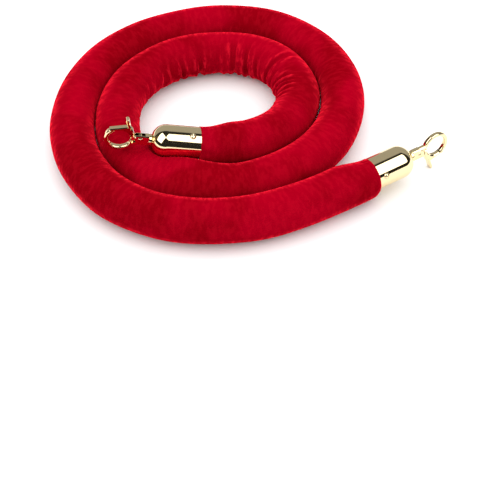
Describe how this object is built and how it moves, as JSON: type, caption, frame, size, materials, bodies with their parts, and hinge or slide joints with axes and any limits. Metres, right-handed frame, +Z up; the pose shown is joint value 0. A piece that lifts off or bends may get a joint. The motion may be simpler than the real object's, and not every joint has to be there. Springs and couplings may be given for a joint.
{
  "type": "velvet barrier rope",
  "caption": "Thick velvet-covered barrier rope lying in a loose coil, with a domed polished cap and a swivel snap hook at each end, to hang between queue posts.",
  "frame": {"origin": "middle of the coiled rope's footprint, on the floor", "axes": "+Z up; +X towards the outer hook, along the coil's longest way; +Y away from the side where both ends lie"},
  "size_m": [0.326, 0.2955, 0.0698],
  "materials": {
    "velvet": "matt pile with a soft sheen",
    "foam": "matt",
    "cord": "matt",
    "polished_gold": "polished",
    "screw_metal": "polished",
    "plug_wood": "turned, bare",
    "binding_thread": "waxed",
    "washer_steel": "plain",
    "spring_steel": "bright wire"
  },
  "bodies": {
    "rope": {"velvet_cover": "velvet", "foam_core": "foam", "load_cord": "cord", "outer_end_cap": "polished_gold", "outer_cap_screws": "screw_metal", "outer_end_plug": "plug_wood", "outer_binding": "binding_thread", "outer_swivel_washer": "washer_steel", "inner_end_cap": "polished_gold", "inner_cap_screws": "screw_metal", "inner_end_plug": "plug_wood", "inner_binding": "binding_thread", "inner_swivel_washer": "washer_steel"},
    "outer_hook": {"outer_hook": "polished_gold", "outer_gate_pin": "polished_gold", "outer_gate_spring": "spring_steel"},
    "outer_gate": {"outer_gate": "polished_gold"},
    "inner_hook": {"inner_hook": "polished_gold", "inner_gate_pin": "polished_gold", "inner_gate_spring": "spring_steel"},
    "inner_gate": {"inner_gate": "polished_gold"}
  },
  "joints": [
    {"name": "outer_swivel", "type": "hinge", "parent": "rope", "child": "outer_hook", "pos_m": [0.0969, -0.07647, 0.01903], "axis": [0.8414, 0.539, 0.0394], "continuous": true},
    {"name": "outer_gate_hinge", "type": "hinge", "parent": "outer_hook", "child": "outer_gate", "pos_m": [0.1375, -0.05046, 0.01953], "axis": [-0.5394, 0.842, 0], "range_deg": [0, 35], "stiffness_Nm_per_rad": 0.02, "springref_deg": -20.05},
    {"name": "inner_swivel", "type": "hinge", "parent": "rope", "child": "inner_hook", "pos_m": [-0.03825, -0.05946, 0.03763], "axis": [-0.9789, -0.0954, 0.1807], "range_deg": [-95, 95]},
    {"name": "inner_gate_hinge", "type": "hinge", "parent": "inner_hook", "child": "inner_gate", "pos_m": [-0.08517, -0.06417, 0.04771], "axis": [-0.0783, 0.992, 0.0992], "range_deg": [0, 35], "stiffness_Nm_per_rad": 0.02, "springref_deg": -20.05}
  ]
}
